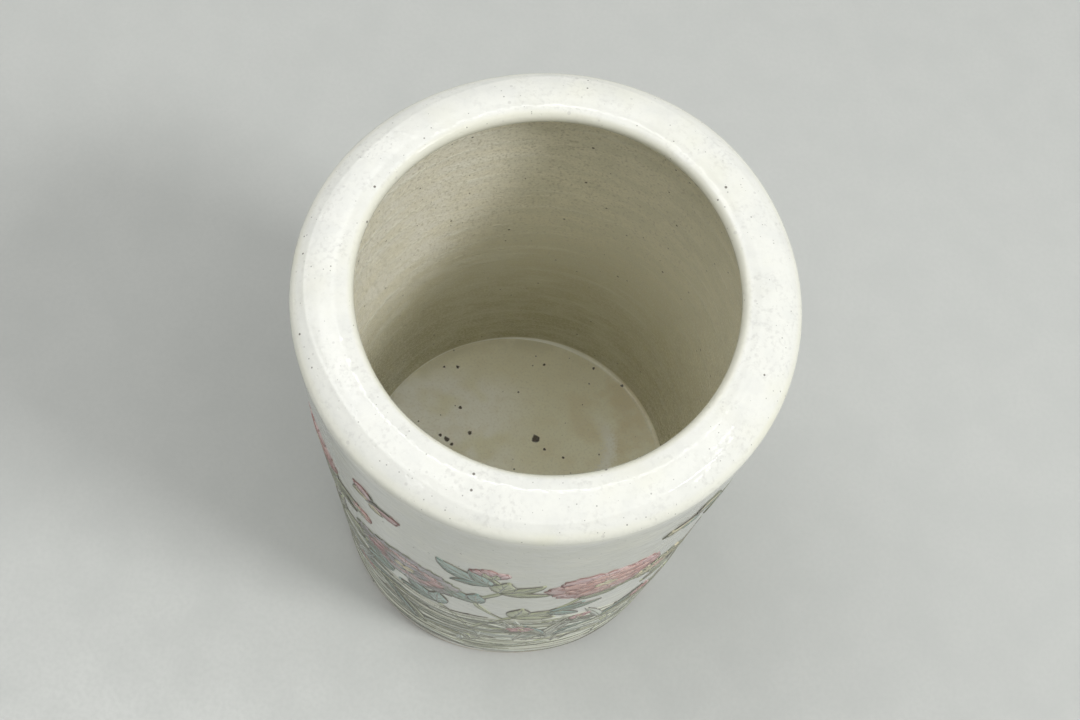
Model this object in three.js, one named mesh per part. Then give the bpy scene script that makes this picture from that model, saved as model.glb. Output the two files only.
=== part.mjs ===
// A porcelain brush pot: a nearly straight cylinder with a thick rounded lip that turns inward
// over a wider well, standing on a low foot ring. It is put together from the four clay parts
// that a potter joins with slip before the firing. Each part is a body of revolution about the
// Z axis. Millimetres, +Z up, origin at the centre of the foot, on the surface it stands on.
import * as THREE from 'three';

// Outside of the pot.
const potHeight = 140;
const rimDiameter = 101;          // across the body where the lip's shoulder begins
const footDiameter = 92;          // across the body at the surface it stands on
const footBevel = 1.2;            // wiped edge between the body and the foot

// Lip: a thick roll, flush with the body outside and overhanging the well inside. Its section is
// a long curve over the top between a tight shoulder outside and a tight nose over the mouth.
const lipThickness = 12.5;        // from the rim's outside to the mouth
const lipCrestInset = 3.9;        // from the mouth out to the highest line of the top
const lipCrownRadius = 11.7;      // long curve over the top
const lipShoulderRadius = 2.5;
const lipNoseRadius = 2;
const lipUnderRadius = 2.4;       // under the nose
const lipUnderAngle = 45;         // degrees by which the underside falls to the wall
const lipJointBelow = 2.5;        // the joint lies this far below the underside

// Wall, floor and foot.
const wallThickness = 4.8;
const floorHeight = 13;           // top of the floor above the surface
const floorThickness = 7;
const floorFillet = 2;            // slip smoothed round the foot of the wall, inside
const footRingWidth = 8;          // bare ring that the pot stands on
const footRingInnerFlare = 1.5;   // the recess is this much narrower at its top

// Fineness of the turned surfaces.
const turnSteps = 96;
const arcSteps = 6;

const rimRadius = rimDiameter / 2;
const footRadius = footDiameter / 2;
const mouthRadius = rimRadius - lipThickness;
const footJointHeight = floorHeight - floorThickness;

// The crown's arc, and the two tight arcs that touch it from inside.
const crown = { radius: mouthRadius + lipCrestInset, height: potHeight - lipCrownRadius };
const shoulder = touchingArc(rimRadius - lipShoulderRadius, lipShoulderRadius);
const nose = touchingArc(mouthRadius + lipNoseRadius, lipNoseRadius);
const under = { radius: mouthRadius + lipUnderRadius, height: nose.height };

// Where a tight arc's centre lies above the crown's, and the angle at which they touch.
function touchingArc(centreRadius, arcRadius) {
  const reach = lipCrownRadius - arcRadius;
  const sideways = centreRadius - crown.radius;
  const upwards = Math.sqrt(reach * reach - sideways * sideways);
  return {
    radius: centreRadius,
    height: crown.height + upwards,
    touches: THREE.MathUtils.radToDeg(Math.atan2(upwards, sideways)),
  };
}

// The body tapers evenly from the shoulder to the foot, and the well follows it.
const taper = (rimRadius - footRadius) / shoulder.height;

function bodyRadius(z) {
  return footRadius + taper * z;
}

function wellRadius(z) {
  return bodyRadius(z) - wallThickness;
}

// The underside leaves the nose at its angle and runs straight back to the well's wall.
const underAngle = THREE.MathUtils.degToRad(lipUnderAngle);
const underStart = {
  radius: under.radius - lipUnderRadius * Math.sin(underAngle),
  height: under.height - lipUnderRadius * Math.cos(underAngle),
};
const underRun = 1 / Math.tan(underAngle);
const underBottom = (underStart.radius + underStart.height * underRun - wellRadius(0))
  / (taper + underRun);
const lipJointHeight = underBottom - lipJointBelow;

// Points of an arc, as [radius, height] pairs, from one angle to another in degrees. Nought
// degrees points away from the axis.
function arc(centre, arcRadius, from, to) {
  const points = [];
  for (let i = 0; i <= arcSteps; i += 1) {
    const angle = THREE.MathUtils.degToRad(from + (to - from) * (i / arcSteps));
    points.push([
      centre.radius + arcRadius * Math.cos(angle),
      centre.height + arcRadius * Math.sin(angle),
    ]);
  }
  return points;
}

// Turns a profile of [radius, height] pairs about the Z axis.
function turned(name, profile, material) {
  const outline = profile.map(([radius, height]) => new THREE.Vector2(radius, height));
  const geometry = new THREE.LatheGeometry(outline, turnSteps);
  geometry.rotateX(Math.PI / 2);
  const mesh = new THREE.Mesh(geometry, material);
  mesh.name = name;
  return mesh;
}

// A ring's profile closes on itself.
function turnedRing(name, profile, material) {
  return turned(name, [...profile, profile[0]], material);
}

// The lip: flush outside, curved over the top and the mouth's edge, sloping back underneath. Each
// arc starts where the last one ended, so its first point is left out.
function makeLip(material) {
  return turnedRing('lip', [
    [bodyRadius(lipJointHeight), lipJointHeight],
    ...arc(shoulder, lipShoulderRadius, 0, shoulder.touches),
    ...arc(crown, lipCrownRadius, shoulder.touches, nose.touches).slice(1),
    ...arc(nose, lipNoseRadius, nose.touches, 180).slice(1),
    ...arc(under, lipUnderRadius, 180, 270 - lipUnderAngle).slice(1),
    [wellRadius(underBottom), underBottom],
    [wellRadius(lipJointHeight), lipJointHeight],
  ], material);
}

// The wall: an even, slightly tapering tube from the floor's joint to the lip's joint. Inside, a
// hollow fillet spreads over the floor and ends in a thin toe just short of its last point.
function makeWall(material) {
  const filletTop = floorHeight + floorFillet;
  const filletCentre = { radius: wellRadius(filletTop) - floorFillet, height: filletTop };
  const fillet = arc(filletCentre, floorFillet, 0, -90).slice(0, -1);
  const toeRadius = fillet.at(-1)[0];
  return turnedRing('wall', [
    [toeRadius, floorHeight],
    [bodyRadius(floorHeight), floorHeight],
    [bodyRadius(lipJointHeight), lipJointHeight],
    [wellRadius(lipJointHeight), lipJointHeight],
    ...fillet,
  ], material);
}

// The floor: a slab that carries the whole wall.
function makeFloor(material) {
  return turned('floor', [
    [0, footJointHeight],
    [bodyRadius(footJointHeight), footJointHeight],
    [bodyRadius(floorHeight), floorHeight],
    [0, floorHeight],
  ], material);
}

// The foot: a plain ring with a wiped outer edge, round a shallow recess.
function makeFoot(material) {
  const ringInner = footRadius - footBevel - footRingWidth;
  return turnedRing('foot_ring', [
    [ringInner, 0],
    [footRadius - footBevel, 0],
    [bodyRadius(footBevel), footBevel],
    [bodyRadius(footJointHeight), footJointHeight],
    [ringInner - footRingInnerFlare, footJointHeight],
  ], material);
}

const whiteGlaze = new THREE.MeshStandardMaterial({
  color: 0xf1f1ea,
  roughness: 0.18,
  metalness: 0,
});
const wellGlaze = new THREE.MeshStandardMaterial({
  color: 0xb5ad94,
  roughness: 0.3,
  metalness: 0,
});
const bareClay = new THREE.MeshStandardMaterial({
  color: 0xe3d8c4,
  roughness: 0.8,
  metalness: 0,
});

const brushPot = new THREE.Group();
brushPot.add(
  makeLip(whiteGlaze),
  makeWall(whiteGlaze),
  makeFloor(wellGlaze),
  makeFoot(bareClay),
);

export default brushPot;
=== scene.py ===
# %% [markdown]
# This lesson dresses a porcelain brush pot for a render. A brush pot stands on a writing desk and
# holds brushes upright. The imported CAD parts are the fixed frame, in metres: a lip, a wall, a floor
# and a foot ring, joined one on top of the other with slip and fired into one pot. This first cell
# loads them and keeps the size of the CAD model, which gives the pot its height and the camera its
# aim.

# %% Load the frame
import math
import random

import bmesh
import bpy
from mathutils import Matrix, Vector, noise


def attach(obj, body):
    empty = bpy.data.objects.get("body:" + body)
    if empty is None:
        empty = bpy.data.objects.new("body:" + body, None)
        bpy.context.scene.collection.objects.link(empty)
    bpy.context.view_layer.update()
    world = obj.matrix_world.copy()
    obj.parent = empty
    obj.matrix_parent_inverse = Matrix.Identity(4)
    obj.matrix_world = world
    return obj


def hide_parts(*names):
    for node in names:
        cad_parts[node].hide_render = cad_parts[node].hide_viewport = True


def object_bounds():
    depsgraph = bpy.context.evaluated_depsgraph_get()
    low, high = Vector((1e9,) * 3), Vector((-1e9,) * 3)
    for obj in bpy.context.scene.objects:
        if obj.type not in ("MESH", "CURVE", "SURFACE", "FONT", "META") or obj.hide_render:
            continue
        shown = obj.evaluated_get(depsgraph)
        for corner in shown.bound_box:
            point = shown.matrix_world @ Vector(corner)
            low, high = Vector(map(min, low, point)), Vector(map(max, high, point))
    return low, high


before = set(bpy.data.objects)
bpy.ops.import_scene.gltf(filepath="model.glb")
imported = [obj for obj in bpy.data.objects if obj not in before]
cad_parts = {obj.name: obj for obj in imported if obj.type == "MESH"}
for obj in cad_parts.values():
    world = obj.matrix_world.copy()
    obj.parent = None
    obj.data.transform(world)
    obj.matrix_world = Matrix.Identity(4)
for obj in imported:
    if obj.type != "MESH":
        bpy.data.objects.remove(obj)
cad_low, cad_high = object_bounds()
MM = 0.001
print("CAD box in metres:", tuple(cad_low), tuple(cad_high))

# %% [markdown]
# The camera comes first, because every later choice is judged through it. It stands in front of the
# pot and looks steeply down over the near lip into the well, with a slight roll. Three directions at
# right angles, to the right, up and backwards, are the columns of its rotation, which is easier to
# get right than three turns one after the other.

# %% Camera
IMAGE_WIDTH = 1080
FOCAL_PIXELS = 1436.2
LOOKING_DOWN = math.radians(67.83)
CAMERA_ROLL = math.radians(11.34)
CAMERA_DISTANCE = 277.7 * MM
CAMERA_ASIDE = 2.18 * MM
CAMERA_BELOW_AIM = 14.75 * MM
SENSOR_WIDTH = 36
NEAREST, FARTHEST = 0.01, 10

scene = bpy.context.scene
camera = bpy.data.objects.new("camera", bpy.data.cameras.new("camera"))
scene.collection.objects.link(camera)
scene.camera = camera

forward = Vector((0, math.cos(LOOKING_DOWN), -math.sin(LOOKING_DOWN)))
level_right = Vector((1, 0, 0))
level_up = level_right.cross(forward)
right = math.cos(CAMERA_ROLL) * level_right + math.sin(CAMERA_ROLL) * level_up
up = -math.sin(CAMERA_ROLL) * level_right + math.cos(CAMERA_ROLL) * level_up
aim = Vector((0, 0, cad_high.z))
camera.location = aim - right * CAMERA_ASIDE - up * CAMERA_BELOW_AIM - forward * CAMERA_DISTANCE
camera.rotation_mode = "QUATERNION"
camera.rotation_quaternion = Matrix((right, up, -forward)).transposed().to_quaternion()
camera.data.sensor_width = SENSOR_WIDTH
camera.data.lens = FOCAL_PIXELS / IMAGE_WIDTH * SENSOR_WIDTH
camera.data.clip_start, camera.data.clip_end = NEAREST, FARTHEST
print("camera at", tuple(round(place, 4) for place in camera.location))

# %% [markdown]
# A material is a web of nodes, and long webs are easier to read as sums. `Value` wraps one output
# socket: adding or multiplying two values adds the Math node that does it. The reflected forms let
# a plain number stand first, as in 1 - mask.

# %% Shader sums
class Value:
    """An output socket that can be used in sums."""

    def __init__(self, finish, socket):
        self.finish, self.socket = finish, socket

    def maths(self, operation, *terms):
        """A Math node on any terms, which may be values or numbers."""
        return self.finish.node("ShaderNodeMath", {"operation": operation}, dict(enumerate(terms)))

    def __add__(self, other):
        return self.maths("ADD", self, other)

    def __sub__(self, other):
        return self.maths("SUBTRACT", self, other)

    def __rsub__(self, other):
        return self.maths("SUBTRACT", other, self)

    def __mul__(self, other):
        return self.maths("MULTIPLY", self, other)

    __radd__, __rmul__ = __add__, __mul__

    def largest(self, other):
        return self.maths("MAXIMUM", self, other)

    def magnitude(self):
        return self.maths("ABSOLUTE", self)

    def ramp(self, low, high):
        """Nought below low, one above high, and a smooth rise between. High may be the lower."""
        settings = {"interpolation_type": "SMOOTHSTEP"}
        inputs = {"Value": self, "From Min": low, "From Max": high}
        return self.finish.node("ShaderNodeMapRange", settings, inputs)

    def other(self, name):
        """Another output of the same node."""
        return Value(self.finish, self.socket.node.outputs[name])


print("shader sums ready")

# %% [markdown]
# `Finish` is a material in the making, and its `node` method makes any node. Colours are mixed by a
# method of their own, because a Math node would turn them grey. The other methods are the patterns
# that glaze and clay are made of: soft clouds, round specks and heights for the bump. All of them
# are worked out from the place on the object in metres, so a pattern has its real size.

# %% Finishes
class Finish:
    """A material in the making, with its Principled shader and the place it is worked out for."""

    SPECK_EDGE = 0.35

    def __init__(self, name):
        self.material = bpy.data.materials.new(name)
        self.material.use_nodes = True
        self.tree = self.material.node_tree
        self.shader = self.tree.nodes["Principled BSDF"]
        self.place = self.node("ShaderNodeTexCoord", {}, {}, "Object")

    def node(self, kind, settings, inputs, output=0):
        """Any node, from its type, its settings and the values or links of its sockets."""
        made = self.tree.nodes.new(kind)
        for name, setting in settings.items():
            setattr(made, name, setting)
        for name, given in inputs.items():
            self.feed(made.inputs[name], given)
        return Value(self, made.outputs[output])

    def feed(self, socket, given):
        """Links a value to a socket, or sets the socket to a colour or a number."""
        if isinstance(given, Value):
            self.tree.links.new(given.socket, socket)
        elif socket.type == "RGBA":
            socket.default_value = (*given, 1)
        else:
            socket.default_value = given

    def dress(self, **inputs):
        """Feeds the shader's own sockets, with _ in a name for each space."""
        for name, given in inputs.items():
            self.feed(self.shader.inputs[name.replace("_", " ")], given)
        return self.material

    def mix(self, factor, colour, other_colour):
        """The first colour where the factor is nought, and the other where it is one."""
        inputs = {0: factor, 6: colour, 7: other_colour}
        return self.node("ShaderNodeMix", {"data_type": "RGBA"}, inputs, 2)

    def cloud(self, size, detail=2.0, place=None):
        """Soft noise from 0 to 1, with lumps of about that size."""
        inputs = {"Vector": place or self.place, "Scale": 1 / size, "Detail": detail}
        return self.node("ShaderNodeTexNoise", {}, inputs)

    def stretched(self, x, y, z):
        """The place with its axes scaled, for a pattern that is longer one way than another."""
        return self.node("ShaderNodeMapping", {}, {"Vector": self.place, "Scale": (x, y, z)})

    def cells(self, size):
        """The distance to the nearest of many scattered points, in units of their spacing."""
        return self.node("ShaderNodeTexVoronoi", {}, {"Vector": self.place, "Scale": 1 / size})

    def specks(self, spacing, radius):
        """A mask of round specks, from none up to that radius, scattered through the clay."""
        distance = self.cells(spacing)
        chance = self.node("ShaderNodeSeparateColor", {}, {"Color": distance.other("Color")})
        reach = chance * (radius / spacing)
        return (reach - distance).ramp(0, self.SPECK_EDGE * radius / spacing)

    def away_from(self, point):
        """The distance from a point, in metres."""
        inputs = {0: self.place, 1: point}
        return self.node("ShaderNodeVectorMath", {"operation": "DISTANCE"}, inputs, "Value")

    def axes(self):
        """The X, Y and Z of the place, and the distance from the pot's axis."""
        x = self.node("ShaderNodeSeparateXYZ", {}, {"Vector": self.place})
        y, z = x.other("Y"), x.other("Z")
        return x, y, z, x.maths("SQRT", x * x + y * y)

    def relief(self, height, depth):
        """A bump of that depth in metres where height goes from 0 to 1."""
        inputs = {"Height": height, "Distance": depth, "Strength": 1.0}
        return self.node("ShaderNodeBump", {}, inputs)


print("finishes ready to mix")

# %% [markdown]
# The sizes of the pot, in millimetres, are the ones that its CAD parts are turned from. The lip's
# section is a long curve over the top, with a tight shoulder outside and a tight nose over the
# mouth, and each arc touches the next. The pen further down needs only the centres of the arcs and
# the angles at which they meet.

# %% Sizes of the pot
RIM_RADIUS, FOOT_RADIUS = 50.5, 46.0
MOUTH_RADIUS = 38.0
CREST_RADIUS = 41.9
CROWN, SHOULDER, NOSE, UNDER = 11.7, 2.5, 2.0, 2.4
UNDER_ANGLE = 45.0
LIP_JOINT_BELOW = 2.5
WALL = 4.8
FLOOR_TOP, FLOOR_UNDERSIDE = 13.0, 6.0
FILLET = 1.1
FOOT_BEVEL = 1.2
FOOT_RING, FOOT_FLARE = 8.0, 1.5
HEIGHT = cad_high.z / MM


def touching(centre_radius, arc_radius):
    """The height of a tight arc's centre and the angle at which it touches the crown's arc."""
    aside = centre_radius - CREST_RADIUS
    above = math.sqrt((CROWN - arc_radius) ** 2 - aside ** 2)
    return HEIGHT - CROWN + above, math.degrees(math.atan2(above, aside))


shoulder_height, shoulder_touch = touching(RIM_RADIUS - SHOULDER, SHOULDER)
nose_height, nose_touch = touching(MOUTH_RADIUS + NOSE, NOSE)
TAPER = (RIM_RADIUS - FOOT_RADIUS) / shoulder_height


def body_radius(height):
    return FOOT_RADIUS + TAPER * height


def well_radius(height):
    return body_radius(height) - WALL


slope = math.radians(UNDER_ANGLE)
under_start_radius = MOUTH_RADIUS + UNDER - UNDER * math.sin(slope)
under_start_height = nose_height - UNDER * math.cos(slope)
under_run = 1 / math.tan(slope)
under_bottom = (under_start_radius + under_start_height * under_run - well_radius(0)) \
    / (TAPER + under_run)
LIP_JOINT = under_bottom - LIP_JOINT_BELOW
print("lip joint at", round(LIP_JOINT, 2), "mm; taper", round(TAPER, 4))

# %% [markdown]
# No pot that was thrown, trimmed and fired by hand is quite round. This one is a little oval, its
# lip rises and falls by a tenth of a millimetre or so, and its sides swell where they were pressed.
# One function moves any point of the perfect pot to its place on the real one, and every piece and
# every stroke of enamel goes through it, so that they still fit each other. Its sizes are in
# millimetres and its directions in radians.

# %% The hand of the potter
# How far the outline leaves the circle, in how many waves, and where one of them is widest.
OVAL = ((0.34, 2, 1.037), (0.10, 3, 0.986), (0.11, 4, -0.438))
# How far the side was pressed out, the middle and spread of its height, and -1 for the left side.
PRESSED = ((0.45, 98, 30, -1), (0.65, 34, 26, 1))
DRIFT, DRIFT_HEIGHT = 0.22, 32
# How far the lip rises and falls, in how many waves, and where they start.
LIP_WAVES = ((0.12, 2, 0.6), (0.07, 3, -1.1))
LIP_WAVES_FROM, LIP_WAVES_GROW = 122, 14
RIDGE, RIDGE_RADIUS, RIDGE_SPREAD, RIDGE_ABOVE = 0.06, 47.1, 0.45, 135
ON_AXIS = 1e-6


def swell(place, middle, spread):
    """One at the middle, and smoothly down to nought on both sides."""
    return math.exp(-((place - middle) / spread) ** 2)


def hand_turned(point):
    """Moves a point of the perfect pot, in metres, to its place on the hand-turned one."""
    radius = math.hypot(point.x, point.y)
    if radius < ON_AXIS:
        return point.copy()
    turn, height = math.atan2(point.y, point.x), point.z / MM
    oval = sum(size * math.cos(waves * (turn - widest)) for size, waves, widest in OVAL)
    pressed = sum(size * swell(height, middle, spread) * max(0, side * math.cos(turn)) ** 2
                  for size, middle, spread, side in PRESSED)
    drift = noise.noise(Vector((2 * math.cos(turn), 2 * math.sin(turn), height / DRIFT_HEIGHT)))
    lift = sum(size * math.sin(waves * turn + start) for size, waves, start in LIP_WAVES)
    lift *= min(1, max(0, (height - LIP_WAVES_FROM) / LIP_WAVES_GROW))
    grown = 1 + (oval + pressed + DRIFT * drift) / body_radius(height)
    return Vector((point.x * grown, point.y * grown, point.z + lift * MM))


def thumb_ridge(vert):
    """A faint ridge, left by the potter's thumb, that wanders round the top of the lip."""
    radius, turn = vert.co.to_2d().length / MM, math.atan2(vert.co.y, vert.co.x)
    if vert.co.z > RIDGE_ABOVE * MM:
        track = RIDGE_RADIUS - 0.8 * math.cos(4 * turn + 2.6) + 0.3 * math.sin(turn + 0.4)
        vert.co.z += RIDGE * swell(radius, track, RIDGE_SPREAD) * MM


print("the lip's crest at the front is", hand_turned(Vector((0, -CREST_RADIUS * MM, cad_high.z))))

# %% [markdown]
# A turned piece starts as its section, drawn in the plane through the axis. The pen drags one
# vertex along: a line extrudes it, and an arc spins it about the arc's centre. The closed section is
# then spun once round the axis, just as the clay went round on the wheel, and merged where the spin
# comes back to its start.

# %% A pen for sections
SPIN_STEPS = 288
SAME_POINT, SEAM = 1e-7, 1e-6


class Section:
    """Draws the section of a turned piece, in millimetres, and turns it into a mesh."""

    def __init__(self, radius, height):
        self.mesh = bmesh.new()
        self.start = self.tip = self.mesh.verts.new((radius * MM, 0, height * MM))

    def line(self, radius, height, steps=1):
        """Goes straight to a place, in a number of equal steps."""
        start, end = self.tip.co.copy(), Vector((radius * MM, 0, height * MM))
        for step in range(1, steps + 1):
            made = bmesh.ops.extrude_vert_indiv(self.mesh, verts=[self.tip])
            self.tip = made["verts"][0]
            self.tip.co = start.lerp(end, step / steps)
        return self

    def arc(self, centre_radius, centre_height, degrees, steps):
        """Goes round a centre, anticlockwise as seen with the axis on the left."""
        made = bmesh.ops.spin(self.mesh, geom=[self.tip], axis=(0, -1, 0), steps=steps,
                              cent=(centre_radius * MM, 0, centre_height * MM),
                              angle=math.radians(degrees), use_merge=False)
        self.tip = made["geom_last"][0]
        return self

    def turned(self):
        """Closes the section and spins it round the axis."""
        if (self.tip.co - self.start.co).length > SAME_POINT:
            self.mesh.edges.new((self.tip, self.start))
        bmesh.ops.remove_doubles(self.mesh, verts=self.mesh.verts, dist=SAME_POINT)
        geometry = self.mesh.verts[:] + self.mesh.edges[:]
        bmesh.ops.spin(self.mesh, geom=geometry, cent=(0, 0, 0), axis=(0, 0, 1),
                       angle=math.tau, steps=SPIN_STEPS, use_merge=True)
        bmesh.ops.remove_doubles(self.mesh, verts=self.mesh.verts, dist=SEAM)
        bmesh.ops.recalc_face_normals(self.mesh, faces=self.mesh.faces)
        return self.mesh


print("a section is spun in", SPIN_STEPS, "steps")

# %% [markdown]
# A finished bmesh becomes a piece in one function: it is shaded smooth except at real edges, dressed
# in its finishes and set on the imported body. The clay pieces also take the place of their CAD parts,
# and they pass through the potter's hand first.

# %% Pieces
SHARP_ANGLE = math.radians(40)


def make_piece(name, mesh, materials, slot, *replaced):
    """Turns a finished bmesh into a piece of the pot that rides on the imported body."""
    data = bpy.data.meshes.new(name)
    mesh.to_mesh(data)
    mesh.free()
    data.shade_smooth()
    data.set_sharp_from_angle(angle=SHARP_ANGLE)
    for material in materials:
        data.materials.append(material)
    piece = bpy.data.objects.new(name, data)
    scene.collection.objects.link(piece)
    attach(piece, "root")
    if replaced:
        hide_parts(*replaced)
    print(name, len(data.polygons), "faces")
    return piece


def make_clay_piece(name, mesh, materials, slot, replaced):
    """Moves a turned mesh to its place on the hand-turned pot and makes it a piece."""
    for vert in mesh.verts:
        vert.co = hand_turned(vert.co)
    make_piece(name, mesh, materials, slot, replaced)


def choose_finish(mesh, choose):
    """Gives each face the number of its finish, from its radius and height in millimetres."""
    for face in mesh.faces:
        middle = face.calc_center_median() / MM
        face.material_index = choose(math.hypot(middle.x, middle.y), middle.z)


print("edges over", round(math.degrees(SHARP_ANGLE)), "degrees stay sharp")

# %% [markdown]
# The outside is covered with a clear, bluish-grey glaze over white clay. It isn't an even white:
# iron in the clay comes through as specks, the glaze is grey where it lies thick and cream where it
# runs thin over the shoulder, and its skin is dimpled like the peel of an orange. Below the shoulder
# the upright body is painted a darker white than the lip, as painted shade. Colour, roughness and
# bump each get their own small sum.

# %% White glaze
WHITE = (0.785, 0.79, 0.735)
GREY_WHITE = (0.68, 0.69, 0.655)
PITTED = (0.60, 0.60, 0.56)
SHADED_BODY_WHITE = (0.625, 0.63, 0.56)
CREAM = (0.75, 0.745, 0.62)
SMUDGE = (0.45, 0.44, 0.41)
IRON = (0.10, 0.085, 0.07)
GLAZE_IOR = 1.5


def white_glaze(finish):
    """Colour, roughness and bump of the white glaze, for the finish that uses them."""
    x, y, z, radius = finish.axes()
    # Painted shade: below the shoulder the upright body is given a darker, warmer white than the lip.
    below = z.ramp(136 * MM, 130 * MM) * radius.ramp(47 * MM, 49 * MM)
    colour = finish.mix(below, WHITE, SHADED_BODY_WHITE)
    mottle = finish.cloud(6 * MM, 3).ramp(0.42, 0.72)
    colour = finish.mix(mottle * 0.45, colour, GREY_WHITE)
    grain = finish.cloud(0.9 * MM, 2).ramp(0.46, 0.74)
    patchy = finish.cloud(8 * MM, 2).ramp(0.40, 0.62)
    colour = finish.mix(grain * (patchy * 0.45 + 0.12), colour, PITTED)
    thin = finish.cloud(13 * MM, 2).ramp(0.48, 0.76)
    shoulder = z.ramp(132 * MM, 135.5 * MM) * z.ramp(138.6 * MM, 136.8 * MM)
    shoulder = shoulder * radius.ramp(48 * MM, 49.6 * MM) * (thin * 0.5 + 0.45)
    colour = finish.mix(shoulder.largest(thin * 0.4), colour, CREAM)
    over_mouth = radius.ramp(39.7 * MM, 38.5 * MM) * z.ramp(120 * MM, 125 * MM)
    colour = finish.mix(over_mouth * 0.7, colour, CREAM)
    smudge = finish.specks(3.1 * MM, 0.5 * MM) * 0.32
    colour = finish.mix(smudge, colour, SMUDGE)
    specks = finish.specks(3.4 * MM, 0.37 * MM) * 0.85
    dust = finish.specks(1.35 * MM, 0.20 * MM) * 0.5
    colour = finish.mix(specks.largest(dust), colour, IRON)
    roughness = grain * 0.05 + 0.035
    peel = finish.cloud(1.5 * MM, 2)
    lumps = finish.cloud(3.4 * MM, 1)
    pits = finish.specks(1.7 * MM, 0.34 * MM)
    bump = finish.relief(peel * 0.8 + lumps * 1.6 - pits * 0.6, 0.05 * MM)
    return colour, roughness, bump


outside = Finish("white_glaze")
colour, roughness, bump = white_glaze(outside)
outside.dress(Base_Color=colour, Roughness=roughness, Normal=bump, IOR=GLAZE_IOR)
print("white glaze has", len(outside.tree.nodes), "nodes")

# %% [markdown]
# Inside, the buff clay shows through a thinner glaze. It pooled on the floor of the well, grey-green
# in some places and rusty in others, and one run of it left a pale crescent. The green on the left
# is partly painted light, paler than the glaze, and the rust on the right partly painted shade,
# because the lamps reach the left of the floor more than the right. A few big iron spots melted out
# of the clay there. They are placed one by one, since such spots are what the eye finds.

# %% Floor of the well
FLOOR_BUFF = (0.93, 0.915, 0.74)
FLOOR_GREEN_LIT = (1.0, 1.0, 0.93)
FLOOR_RUST_AND_SHADE = (0.82, 0.75, 0.55)
# A dark brown for the painted shade deep in the well and at the floor's edge, and for the pinholes.
WELL_SHADE_AND_PITS = (0.455, 0.43, 0.27)
# A pale white for the glaze run of the crescent and for the painted highlight along the fillet.
RUN_AND_GLINT_WHITE = (0.97, 0.97, 0.90)
# Each spot is its place across and back, in millimetres, and its radius.
IRON_SPOTS = ((3.9, 12.2, 1.35), (6.9, 9.6, 0.45), (-20.3, 7.0, 0.9), (-22.3, 7.8, 0.6),
              (-18.6, 5.9, 0.55), (-21.7, 28.7, 0.55), (-18.5, 16.8, 0.6), (-14.4, 10.1, 0.65),
              (-25.4, 28.0, 0.4), (-24.0, 33.4, 0.5), (16.1, 36.4, 0.5), (25.2, 32.9, 0.55),
              (2.2, 34.5, 0.45), (12.4, 8.3, 0.35))


def iron_spots(finish):
    """A mask of the big spots, with ragged edges."""
    ragged = (finish.cloud(1.0 * MM, 2) - 0.5) * (1.1 * MM)
    mask = 0.0
    for x, y, radius in IRON_SPOTS:
        reach = finish.away_from((x * MM, y * MM, FLOOR_TOP * MM)) + ragged
        mask = reach.ramp(radius * MM, 0.6 * radius * MM).largest(mask)
    return mask


def pooled_floor(finish, mottle, grain):
    """The colour of the glaze on the floor."""
    x, y, z, radius = finish.axes()
    # Partly painted light: the green patch on the left is paler than the buff, where the lamps reach
    # the floor most.
    green = finish.cloud(12 * MM, 2).ramp(0.30, 0.55)
    green = green * x.ramp(6 * MM, -12 * MM) * y.ramp(32 * MM, 22 * MM)
    pool = finish.mix(green, FLOOR_BUFF, FLOOR_GREEN_LIT)
    # Partly painted shade: the rust is darker towards the right, where less light reaches the floor.
    rust = finish.cloud(8 * MM, 3).ramp(0.35, 0.65) * x.ramp(-2 * MM, 26 * MM)
    far = y.ramp(18 * MM, 36 * MM) * 0.3
    pool = finish.mix(rust.largest(far), pool, FLOOR_RUST_AND_SHADE)
    crescent = finish.away_from((13 * MM, 12 * MM, FLOOR_TOP * MM)) + (grain - 0.5) * (4 * MM)
    crescent = crescent.ramp(9 * MM, 11.5 * MM) * crescent.ramp(15 * MM, 12 * MM)
    crescent = crescent * x.ramp(16 * MM, 23 * MM) * y.ramp(26 * MM, 16 * MM)
    pool = finish.mix(crescent * 0.95, pool, RUN_AND_GLINT_WHITE)
    # Painted shade where the floor meets the wall, mostly on the left.
    corner_shade = radius.ramp(36 * MM, 41 * MM) * x.ramp(24 * MM, -6 * MM) * (mottle * 0.3 + 0.05)
    pool = finish.mix(corner_shade, pool, WELL_SHADE_AND_PITS)
    return finish.mix(finish.cloud(3.5 * MM, 3).ramp(0.42, 0.70) * 0.2, pool, FLOOR_RUST_AND_SHADE)


print(len(IRON_SPOTS), "iron spots to place")

# %% [markdown]
# The wall of the well is brown-grey and less glossy than the outside. It is painted darker towards
# its foot and at the edge of the floor, as painted shade deep in the well, and paler on its upper
# left, as painted light where the lamp from the right falls through the mouth. The rings of the
# throwing show through, so one noise is stretched along them. A pale line round the edge of the
# floor is a painted highlight along the glossy fillet. The wall and the floor share this one
# finish, which tells them apart by height, so that they meet without a seam.

# %% Well glaze
WELL_BUFF = (0.83, 0.795, 0.64)
WELL_GREY = (0.70, 0.69, 0.55)
WELL_PAINTED_LIGHT = (0.92, 0.90, 0.82)
WELL_GRAIN = (0.44, 0.415, 0.31)
POOLED = (0.90, 0.90, 0.80)


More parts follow.
